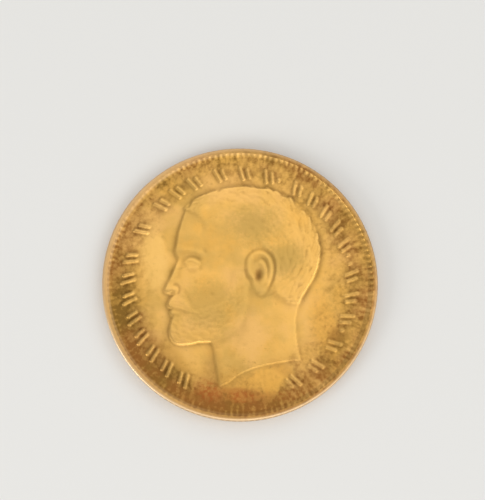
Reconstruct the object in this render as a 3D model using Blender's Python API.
"""A worn silver sixpence: a reeded edge, a toothed border inside a raised rim, a bearded head in
profile on the front, and a laurel wreath on the back. Metres, +Z up. The coin lies on the rim of
its back, with the origin at the middle of that rim's plane and the top of the head towards +Y."""

import math

import bmesh
import bpy
import numpy as np
from mathutils import Matrix, Vector
from mathutils.geometry import delaunay_2d_cdt

MM = 0.001

# The blank
DIAMETER = 19.41 * MM
RIM_THICKNESS = 1.16 * MM
RIM_WIDTH = 0.24 * MM
RIM_STEP = 0.16 * MM
EDGE_ROUND = 0.05 * MM

# Reeds round the edge, and one border tooth for each reed
REEDS = 146
REED_DEPTH = 0.06 * MM
TOOTH_LENGTH = 0.30 * MM
TOOTH_DROP = 0.02 * MM
TOOTH_GROOVE = 0.10 * MM
RIM_LIP = 0.03 * MM

# The ring of strokes that stands for the inscription, inside the border
STROKE_GAP = 0.60 * MM
STROKE_LENGTH = 1.10 * MM
STROKE_WIDTH = 0.24 * MM
STROKE_HEIGHT = 0.085 * MM
STROKE_TAPER = 0.60
STROKE_LEAN = 17.0
SHORT_STROKE_LENGTH = 0.86 * MM
SHORT_STROKE_OFFSET = 0.48 * MM
DOT_WIDTH = 0.34 * MM

# The head in profile
HEAD_HEIGHT = 10.4 * MM
HEAD_RELIEF = 0.145 * MM
FACE_SETBACK = 4.6 * MM
CHIN_DROP = 3.9 * MM
COARSE_PITCH = 0.66 * MM
CARVING_TOLERANCE = 0.0034 * MM

# The wreath and the rosette on the back
WREATH_RADIUS = 5.0 * MM
LEAF_LENGTH = 2.15 * MM
LEAF_WIDTH = 0.72 * MM
LEAF_HEIGHT = 0.11 * MM
LEAF_SPREAD = 24.0
STEM_WIDTH = 0.16 * MM
LEAF_PAIRS = 9
WREATH_OPENING = 28.0
ROSETTE_RADIUS = 1.35 * MM
PETALS = 8

# How far the raised work is rooted below the field
ROOT = 0.05 * MM

OUTER_RADIUS = DIAMETER / 2
RIM_INNER = OUTER_RADIUS - REED_DEPTH - EDGE_ROUND - RIM_WIDTH
FIELD_RADIUS = RIM_INNER - RIM_LIP - TOOTH_LENGTH
FRONT_FIELD = RIM_THICKNESS - RIM_STEP
BACK_FIELD = RIM_STEP
STROKE_RADIUS = FIELD_RADIUS - STROKE_GAP - STROKE_LENGTH / 2
COLUMNS = 2 * REEDS

# Word groups round the front, in degrees from +X: first mark, last mark and how many
FRONT_GROUPS = [
    (241.8, 169.3, 8),
    (152.8, 152.8, 1),
    (136.4, 115.9, 3),
    (102.0, 76.5, 3),
    (60.4, 21.4, 5),
    (5.0, -17.5, 3),
    (-32.8, -60.6, 3),
]
FRONT_DOTS = [69.5, 14.5, 9.8, -25.5]
BACK_GROUPS = [(225.0, 135.0, 9), (117.0, 63.0, 6), (45.0, -45.0, 9)]
BACK_DOTS = [126.0, 54.0]

# The head, in shares of its height: across from the face plane, and up from the chin
FACE = [
    (0.062, 0.872), (0.040, 0.800), (0.016, 0.715), (0.006, 0.640), (-0.004, 0.590),
    (0.004, 0.556), (0.016, 0.528), (0.000, 0.485), (-0.028, 0.420), (-0.062, 0.352),
    (-0.076, 0.326), (-0.068, 0.303), (-0.040, 0.292), (-0.014, 0.282),
]
MOUSTACHE_EDGE = [
    (-0.014, 0.282), (-0.036, 0.258), (-0.050, 0.226), (-0.044, 0.200), (-0.022, 0.189),
]
LIP_EDGE = [(-0.022, 0.189), (-0.034, 0.172), (-0.030, 0.150), (-0.016, 0.132)]
BEARD_EDGE = [
    (-0.016, 0.132), (-0.030, 0.090), (-0.036, 0.040), (-0.026, -0.010), (0.002, -0.042),
    (0.050, -0.052), (0.110, -0.046), (0.175, -0.034), (0.245, -0.036),
]
THROAT = [(0.245, -0.036), (0.262, -0.090), (0.270, -0.150), (0.284, -0.230), (0.305, -0.335)]
NECK_CUT = [
    (0.305, -0.335), (0.360, -0.305), (0.430, -0.255), (0.520, -0.212), (0.620, -0.185),
    (0.730, -0.166), (0.850, -0.150),
]
NAPE_AND_CROWN = [
    (0.850, -0.150), (0.828, -0.060), (0.816, 0.060), (0.822, 0.160), (0.850, 0.250),
    (0.900, 0.335), (0.955, 0.435), (0.990, 0.550), (0.992, 0.670), (0.955, 0.800),
    (0.880, 0.905), (0.770, 0.985), (0.640, 1.030), (0.500, 1.044), (0.360, 1.034),
    (0.240, 1.004), (0.140, 0.960), (0.078, 0.915), (0.050, 0.885), (0.062, 0.872),
]
EDGE_RUNS = [FACE, MOUSTACHE_EDGE, LIP_EDGE, BEARD_EDGE, THROAT, NECK_CUT, NAPE_AND_CROWN]
HAIRLINE = [
    (0.062, 0.872), (0.165, 0.815), (0.208, 0.715), (0.285, 0.650), (0.385, 0.605),
    (0.405, 0.480), (0.440, 0.380), (0.478, 0.500), (0.530, 0.605), (0.645, 0.580),
    (0.672, 0.430), (0.680, 0.290), (0.790, 0.230), (0.860, 0.225), (1.150, 0.240),
    (1.150, 1.200), (-0.050, 1.200), (-0.050, 0.885),
]
JAW = [
    (-0.080, -0.090), (0.100, -0.090), (0.245, -0.036), (0.335, 0.000), (0.410, 0.055),
    (0.462, 0.130), (0.486, 0.220), (0.490, 0.300), (0.500, 0.340),
]
BEHIND_JAW = [
    (0.600, 0.330), (0.670, 0.310), (0.720, 0.260), (0.800, 0.235), (1.200, 0.235),
    (1.200, -0.600), (-0.080, -0.600),
]
MOUSTACHE = [
    (-0.070, 0.300), (-0.014, 0.284), (0.030, 0.274), (0.075, 0.245), (0.112, 0.205),
    (0.146, 0.156), (0.070, 0.172), (-0.020, 0.188), (-0.070, 0.185),
]
EAR = [
    (-0.26, 0.16), (-0.20, 0.38), (-0.04, 0.50), (0.15, 0.50), (0.30, 0.36), (0.34, 0.14),
    (0.28, -0.10), (0.18, -0.28), (0.10, -0.42), (-0.02, -0.50), (-0.14, -0.46),
    (-0.19, -0.32), (-0.20, -0.12), (-0.26, 0.00),
]
EAR_RIM = [
    (-0.10, -0.10), (-0.20, 0.02), (-0.23, 0.18), (-0.17, 0.36), (-0.02, 0.47), (0.14, 0.46),
    (0.26, 0.34), (0.30, 0.16), (0.26, -0.04), (0.17, -0.22), (0.09, -0.34),
]
EAR_CENTRE = (0.572, 0.432)
EAR_TALL = 0.300
EAR_LEAN = -9.0

# Soft swellings and hollows: centre, radii, turn in degrees, lift in shares of the relief
SWELLINGS = [
    ((0.260, 0.420), (0.120, 0.085), 20, 0.06),
    ((0.220, 0.600), (0.055, 0.070), -20, -0.08),
    ((0.100, 0.720), (0.090, 0.100), 0, 0.05),
    ((0.220, 0.290), (0.080, 0.060), -30, -0.06),
    ((0.060, 0.516), (0.036, 0.034), 20, -0.20),
    ((0.125, 0.512), (0.060, 0.040), 0, -0.12),
    ((0.113, 0.496), (0.040, 0.026), -6, 0.15),
    ((-0.042, 0.328), (0.028, 0.024), 0, 0.15),
    ((-0.004, 0.322), (0.025, 0.023), 20, 0.17),
    ((-0.008, 0.164), (0.040, 0.014), -4, 0.10),
    ((0.300, -0.120), (0.035, 0.050), 10, 0.05),
]
# Long ridges and furrows: path, half width, taper at the ends, lift
FURROWS = [
    ([(0.004, 0.584), (0.110, 0.592), (0.220, 0.545)], 0.022, 0.3, 0.15),
    ([(0.062, 0.492), (0.098, 0.527), (0.176, 0.490)], 0.014, 0.1, 0.11),
    ([(0.068, 0.478), (0.100, 0.466), (0.170, 0.486)], 0.012, 0.2, 0.06),
    ([(0.034, 0.520), (0.036, 0.470), (0.026, 0.375)], 0.024, 0.3, -0.08),
    ([(0.012, 0.510), (-0.010, 0.440), (-0.036, 0.370)], 0.020, 0.2, 0.12),
    ([(0.029, 0.350), (0.034, 0.320), (0.014, 0.292)], 0.014, 0.2, -0.12),
    ([(0.040, 0.335), (0.098, 0.255), (0.125, 0.215)], 0.018, 0.3, -0.06),
    ([(0.660, 0.280), (0.500, -0.050), (0.410, -0.220)], 0.055, 0.3, 0.09),
    ([(0.500, 0.120), (0.420, -0.060), (0.355, -0.210)], 0.035, 0.3, -0.06),
]
# Swept waves of the hair, as shares of the way out from their common centre to the crown
HAIR_CENTRE = (0.50, 0.50)
HAIR_REACH = (0.495, 0.548)
HAIR_WAVES = [0.42, 0.56, 0.70, 0.84, 0.955]
HAIR_WAVE_WIDTH = 0.030
HAIR_WAVE_LIFT = 0.07

EDGE_RISE = 0.26
CROWN_RISE = 0.46
ROUNDING = 0.26
HAIR_LIFT = 0.10
BEARD_LIFT = 0.06
MOUSTACHE_LIFT = 0.14
NECK_FALL = 0.15
EAR_BASE = 0.64
EAR_LIFT = 0.17
EAR_RIM_LIFT = 0.15
EAR_HOLLOW = 0.17
WORN_TOP = 0.97


def smooth_path(points, steps=6, closed=False):
    """Points along a smooth curve through the given ones."""
    given = np.array(points, float)
    count = len(given)
    found = []
    for i in range(count if closed else count - 1):
        start = given[i]
        end = given[(i + 1) % count]
        before = given[i - 1] if closed or i else 2 * start - end
        after = given[(i + 2) % count] if closed or i + 2 < count else 2 * end - start
        t = np.linspace(0, 1, steps, endpoint=False)[:, None]
        bend = (2 * before - 5 * start + 4 * end - after) * t**2
        twist = (3 * start - before - 3 * end + after) * t**3
        found.append((2 * start + (end - before) * t + bend + twist) / 2)
    if not closed:
        found.append(given[-1:])
    return np.concatenate(found)


def ease(value, low, high):
    """0 below low, 1 above high, and a smooth step between."""
    t = np.clip((value - low) / (high - low), 0, 1)
    return t * t * (3 - 2 * t)


def path_distance(spots, path):
    """How far each spot is from a path, and how far along it, from 0 to 1, the nearest place lies."""
    steps = np.diff(path, axis=0)
    lengths = np.hypot(steps[:, 0], steps[:, 1])
    starts = np.concatenate([[0], np.cumsum(lengths)[:-1]])
    nearest = np.full(len(spots), np.inf)
    along = np.zeros(len(spots))
    for origin, step, length, start in zip(path, steps, lengths, starts):
        reach = spots - origin
        t = np.clip(reach @ step / length**2, 0, 1)
        gap = np.hypot(reach[:, 0] - t * step[0], reach[:, 1] - t * step[1])
        closer = gap < nearest
        nearest = np.where(closer, gap, nearest)
        along = np.where(closer, (start + t * length) / lengths.sum(), along)
    return nearest, along


def inside(spots, loop):
    """Which spots lie inside a closed loop."""
    odd = np.zeros(len(spots), bool)
    for (ax, ay), (bx, by) in zip(loop, np.roll(loop, -1, axis=0)):
        if ay != by:
            crosses = (ay > spots[:, 1]) != (by > spots[:, 1])
            odd ^= crosses & (spots[:, 0] < (bx - ax) * (spots[:, 1] - ay) / (by - ay) + ax)
    return odd


def depth_inside(spots, loop):
    """Distance to a closed loop, counted positive inside it."""
    gap, _ = path_distance(spots, np.vstack([loop, loop[:1]]))
    return np.where(inside(spots, loop), gap, -gap)


def soft_depth(spots, loop):
    """A rounded measure of depth inside a loop, with no crease along its middle."""
    following = np.roll(loop, -1, axis=0)
    middles = (loop + following) / 2
    lengths = np.hypot(*(following - loop).T)
    nearness = np.zeros(len(spots))
    for middle, length in zip(middles, lengths):
        square = ((spots - middle) ** 2).sum(axis=1)
        nearness += length / (square + (length / 2) ** 2) ** 1.5
    return np.sqrt(2 / nearness)


def oval(spots, centre, radii, turn):
    """Squared distance from the centre of a turned oval, 1 on its edge."""
    c = math.cos(math.radians(turn))
    s = math.sin(math.radians(turn))
    x, y = (spots - centre).T
    return ((x * c + y * s) / radii[0]) ** 2 + ((y * c - x * s) / radii[1]) ** 2


def furrow(spots, points, width, taper):
    """A soft ridge of height 1 along a path, running out at its ends."""
    gap, along = path_distance(spots, smooth_path(points))
    return np.exp(-((gap / width) ** 2)) * ease(along, 0, taper) * ease(1 - along, 0, taper)


def head_outline(steps):
    """The closed outline of the head, in shares of its height."""
    return np.concatenate([smooth_path(run, steps)[:-1] for run in EDGE_RUNS])


def hair_waves(spots):
    """Broad combed waves, as rings round the side of the head."""
    x, y = ((spots - HAIR_CENTRE) / HAIR_REACH).T
    out = np.hypot(x, y)
    lift = np.zeros(len(spots))
    for share in HAIR_WAVES:
        lift += np.exp(-(((out - share) / HAIR_WAVE_WIDTH) ** 2))
    return lift


def ear_form(spots):
    """Height of the ear above the side of the head, and how much of each spot it covers."""
    c = math.cos(math.radians(EAR_LEAN))
    s = math.sin(math.radians(EAR_LEAN))
    x, y = ((spots - EAR_CENTRE) / EAR_TALL).T
    own = np.column_stack([x * c - y * s, x * s + y * c])
    depth = depth_inside(own, smooth_path(EAR, 4, closed=True))
    height = EAR_LIFT * ease(depth, -0.02, 0.08)
    height += EAR_RIM_LIFT * furrow(own, EAR_RIM, 0.06, 0.06)
    height -= EAR_HOLLOW * np.exp(-oval(own, (0.0, 0.0), (0.11, 0.17), -15))
    return height, ease(depth, -0.03, 0.03)


def head_height(spots):
    """Height of the head over the field, in shares of the full relief."""
    depth = soft_depth(spots, head_outline(6))
    rise = np.clip(depth / ROUNDING, 0, 1)
    height = EDGE_RISE + CROWN_RISE * np.sqrt(1 - (1 - rise) ** 2)
    for centre, radii, turn, lift in SWELLINGS:
        height += lift * np.exp(-oval(spots, centre, radii, turn))
    for points, width, taper, lift in FURROWS:
        height += lift * furrow(spots, points, width, taper)
    neck = np.concatenate([smooth_path(JAW), BEHIND_JAW])
    height -= NECK_FALL * ease(depth_inside(spots, neck), -0.03, 0.03)
    beard = depth_inside(spots, np.vstack([smooth_path(JAW), [(0.405, 0.44), (0.29, 0.23), (-0.08, 0.13)]]))
    height += BEARD_LIFT * ease(beard, -0.02, 0.02)
    height += MOUSTACHE_LIFT * ease(depth_inside(spots, smooth_path(MOUSTACHE, 4, closed=True)), -0.01, 0.02)
    hair = ease(depth_inside(spots, smooth_path(HAIRLINE, 3, closed=True)), -0.01, 0.02)
    height += hair * (HAIR_LIFT + HAIR_WAVE_LIFT * hair_waves(spots))
    ear, cover = ear_form(spots)
    height = height * (1 - cover) + (EAR_BASE + ear) * cover
    return np.minimum(height, WORN_TOP)


def carving_spots(outline):
    """Spots inside the head, set closer together where its surface turns more sharply."""
    chosen = []
    pitch = COARSE_PITCH / HEAD_HEIGHT
    low = outline.min(axis=0)
    high = outline.max(axis=0)
    for level in range(3):
        x, y = np.meshgrid(np.arange(low[0], high[0], pitch), np.arange(low[1], high[1], pitch))
        column, row = np.meshgrid(np.arange(x.shape[1]), np.arange(x.shape[0]))
        spots = np.column_stack([x.ravel(), y.ravel()])
        keep = depth_inside(spots, outline) > pitch * 0.45
        if level:
            keep &= ((column % 2 == 1) | (row % 2 == 1)).ravel()
            around = sum(head_height(spots + step) for step in pitch * np.array([[1, 0], [-1, 0], [0, 1], [0, -1]]))
            turn = np.abs(head_height(spots) - around / 4) * HEAD_RELIEF
            keep &= turn > CARVING_TOLERANCE
        chosen.append(spots[keep])
        pitch /= 2
    return np.concatenate(chosen)


def head_mesh():
    """The head as a closed slab, carved on top and rooted below the front field."""
    outline = head_outline(3)
    spots = np.concatenate([outline, carving_spots(outline)])
    ring = [(i, (i + 1) % len(outline)) for i in range(len(outline))]
    flat, _, faces = delaunay_2d_cdt([Vector(spot) for spot in spots], ring, [], 1, 1e-7)[:3]
    bm = bmesh.new()
    base = FRONT_FIELD - ROOT
    verts = []
    for x, y in flat:
        place = (x * HEAD_HEIGHT - FACE_SETBACK, y * HEAD_HEIGHT - CHIN_DROP, base)
        verts.append(bm.verts.new(place))
    for face in faces:
        bm.faces.new([verts[i] for i in face])
    heights = head_height(np.array([tuple(spot) for spot in flat]))
    made = bmesh.ops.extrude_face_region(bm, geom=bm.faces[:], use_keep_orig=True)
    carved = [item for item in made["geom"] if isinstance(item, bmesh.types.BMVert)]
    lookup = {(vert.co.x, vert.co.y): share for vert, share in zip(verts, heights)}
    for vert in carved:
        vert.co.z = FRONT_FIELD + HEAD_RELIEF * lookup[(vert.co.x, vert.co.y)]
    return bm


def blank_profile():
    """Outline of the blank from the front field to the back field: on a reed's crest, and in its groove."""
    crest = []
    groove = []
    for side, rim in ((1, RIM_THICKNESS), (-1, 0.0)):
        field = rim - side * RIM_STEP
        shoulder = rim - side * EDGE_ROUND
        tooth = (RIM_INNER - RIM_LIP, rim - side * TOOTH_DROP)
        gap = (RIM_INNER - RIM_LIP, rim - side * (TOOTH_DROP + TOOTH_GROOVE))
        flat = [(RIM_INNER, rim), (RIM_INNER + RIM_WIDTH, rim)]
        ups = [(FIELD_RADIUS, field), tooth, *flat, (OUTER_RADIUS, shoulder)]
        downs = [(FIELD_RADIUS, field), gap, *flat, (OUTER_RADIUS - REED_DEPTH, shoulder)]
        crest += ups[::side]
        groove += downs[::side]
    return crest, groove


def blank_mesh():
    """The struck disc: rim, border teeth and reeded edge, with plain fields."""
    crest, groove = blank_profile()
    bm = bmesh.new()
    line = [bm.verts.new((radius, 0, height)) for radius, height in crest]
    edges = [bm.edges.new(pair) for pair in zip(line, line[1:])]
    bmesh.ops.spin(
        bm, geom=line + edges, cent=(0, 0, 0), axis=(0, 0, 1), dvec=(0, 0, 0),
        angle=math.tau, steps=COLUMNS, use_merge=True, use_duplicate=False,
    )
    crests = np.array(crest)
    joins = {}
    field_ring = {}
    for vert in bm.verts:
        radius = math.hypot(vert.co.x, vert.co.y)
        row = int(np.argmin(np.hypot(crests[:, 0] - radius, crests[:, 1] - vert.co.z)))
        column = round(math.atan2(vert.co.y, vert.co.x) / math.tau * COLUMNS) % COLUMNS
        if row in (0, len(crest) - 1):
            field_ring[(row, column)] = vert
        if column % 2:
            angle = column / COLUMNS * math.tau
            radius, height = groove[row]
            vert.co = (radius * math.cos(angle), radius * math.sin(angle), height)
    for (row, column), vert in field_ring.items():
        if column % 2:
            joins[vert] = field_ring[(row, column - 1)]
    bmesh.ops.weld_verts(bm, targetmap=joins)
    bmesh.ops.holes_fill(bm, edges=bm.edges[:], sides=0)
    return bm


def place_on(side, angle, radius, turn=0.0):
    """Frame at a place on a field: x points outwards, z out of the metal."""
    field = FRONT_FIELD if side > 0 else BACK_FIELD
    around = math.radians(angle)
    spot = Matrix.Translation((radius * math.cos(around), radius * math.sin(around), field))
    spin = Matrix.Rotation(around + math.radians(turn), 4, "Z")
    flip = Matrix.Identity(4) if side > 0 else Matrix.Rotation(math.pi, 4, "X")
    return spot @ spin @ flip


def add_block(bm, frame, length, width, height, top, corners=4):
    """A low tapered block, rooted in the field, with its length along the frame's x."""
    depth = height + ROOT
    shape = Matrix.Diagonal((length, width, depth, 1)) @ Matrix.Translation((0, 0, 0.5))
    square = Matrix.Rotation(math.pi / corners, 4, "Z") if top else Matrix.Identity(4)
    reach = 0.5 / math.cos(math.pi / corners) if top else 0.5
    bmesh.ops.create_cone(
        bm, cap_ends=True, segments=corners, radius1=reach, radius2=reach * top, depth=1.0,
        matrix=frame @ Matrix.Translation((0, 0, -ROOT)) @ shape @ square,
    )


def add_strokes(bm, side, groups, dots, paired):
    """Words as slanted strokes round a field; a shorter one follows each where they are paired."""
    for first, last, marks in groups:
        for angle in np.linspace(first, last, marks):
            add_block(
                bm, place_on(side, angle, STROKE_RADIUS, STROKE_LEAN),
                STROKE_LENGTH, STROKE_WIDTH, STROKE_HEIGHT, STROKE_TAPER,
            )
            if paired:
                beside = angle - math.degrees(SHORT_STROKE_OFFSET / STROKE_RADIUS)
                add_block(
                    bm, place_on(side, beside, STROKE_RADIUS, STROKE_LEAN),
                    SHORT_STROKE_LENGTH, STROKE_WIDTH, STROKE_HEIGHT, STROKE_TAPER,
                )
    for angle in dots:
        add_block(
            bm, place_on(side, angle, STROKE_RADIUS),
            DOT_WIDTH, DOT_WIDTH, STROKE_HEIGHT, STROKE_TAPER,
        )


def front_strokes_mesh():
    """The ring of marks round the head."""
    bm = bmesh.new()
    add_strokes(bm, 1, FRONT_GROUPS, FRONT_DOTS, paired=True)
    return bm


def back_mesh():
    """The back: marks round the border, a wreath of two branches, and a rosette in the middle."""
    bm = bmesh.new()
    add_strokes(bm, -1, BACK_GROUPS, BACK_DOTS, paired=False)
    foot = -90.0
    reach = (360.0 - WREATH_OPENING) / 2
    step = reach / LEAF_PAIRS
    stem_length = math.radians(step) * WREATH_RADIUS - STEM_WIDTH
    for branch in (1, -1):
        for pair in range(LEAF_PAIRS):
            angle = foot + branch * step * (pair + 0.75)
            for row in (1, -1):
                add_block(
                    bm, place_on(-1, angle, WREATH_RADIUS + row * LEAF_WIDTH * 0.8, branch * (90.0 - row * LEAF_SPREAD)),
                    LEAF_LENGTH, LEAF_WIDTH, LEAF_HEIGHT, 0.0,
                )
            add_block(
                bm, place_on(-1, angle, WREATH_RADIUS, 90.0),
                stem_length, STEM_WIDTH, STROKE_HEIGHT, STROKE_TAPER,
            )
    for petal in range(PETALS):
        angle = petal * 360.0 / PETALS
        add_block(
            bm, place_on(-1, angle, ROSETTE_RADIUS / 2 + DOT_WIDTH),
            ROSETTE_RADIUS, LEAF_WIDTH, LEAF_HEIGHT, 0.0,
        )
    add_block(bm, place_on(-1, foot, WREATH_RADIUS), LEAF_WIDTH, LEAF_WIDTH, LEAF_HEIGHT, STROKE_TAPER, 8)
    add_block(bm, place_on(-1, 0.0, 0.0), DOT_WIDTH * 2, DOT_WIDTH * 2, LEAF_HEIGHT, STROKE_TAPER, 8)
    return bm


def make_object(name, bm):
    """An object in the scene with the given mesh, its faces pointing outwards."""
    bmesh.ops.recalc_face_normals(bm, faces=bm.faces[:])
    mesh = bpy.data.meshes.new(name)
    bm.to_mesh(mesh)
    bm.free()
    made = bpy.data.objects.new(name, mesh)
    bpy.context.scene.collection.objects.link(made)
    return made


def toned_silver():
    """Worn sterling silver with a warm golden tone."""
    material = bpy.data.materials.new("toned_silver")
    material.use_nodes = True
    shader = material.node_tree.nodes["Principled BSDF"]
    shader.inputs["Base Color"].default_value = (0.66, 0.43, 0.14, 1.0)
    shader.inputs["Metallic"].default_value = 1.0
    shader.inputs["Roughness"].default_value = 0.38
    return material


def join_to(coin, name, bm, overlaps=False):
    """Raised work joined to the coin as one solid."""
    work = make_object(name, bm)
    work.hide_render = True
    work.display_type = "WIRE"
    join = coin.modifiers.new(name, "BOOLEAN")
    join.operation = "UNION"
    join.solver = "EXACT"
    join.use_self = overlaps
    join.object = work


def main():
    for old in list(bpy.data.objects):
        bpy.data.objects.remove(old)
    coin = make_object("struck_coin", blank_mesh())
    coin.data.materials.append(toned_silver())
    join_to(coin, "head_relief", head_mesh())
    join_to(coin, "front_strokes", front_strokes_mesh(), overlaps=True)
    join_to(coin, "back_design", back_mesh(), overlaps=True)


main()
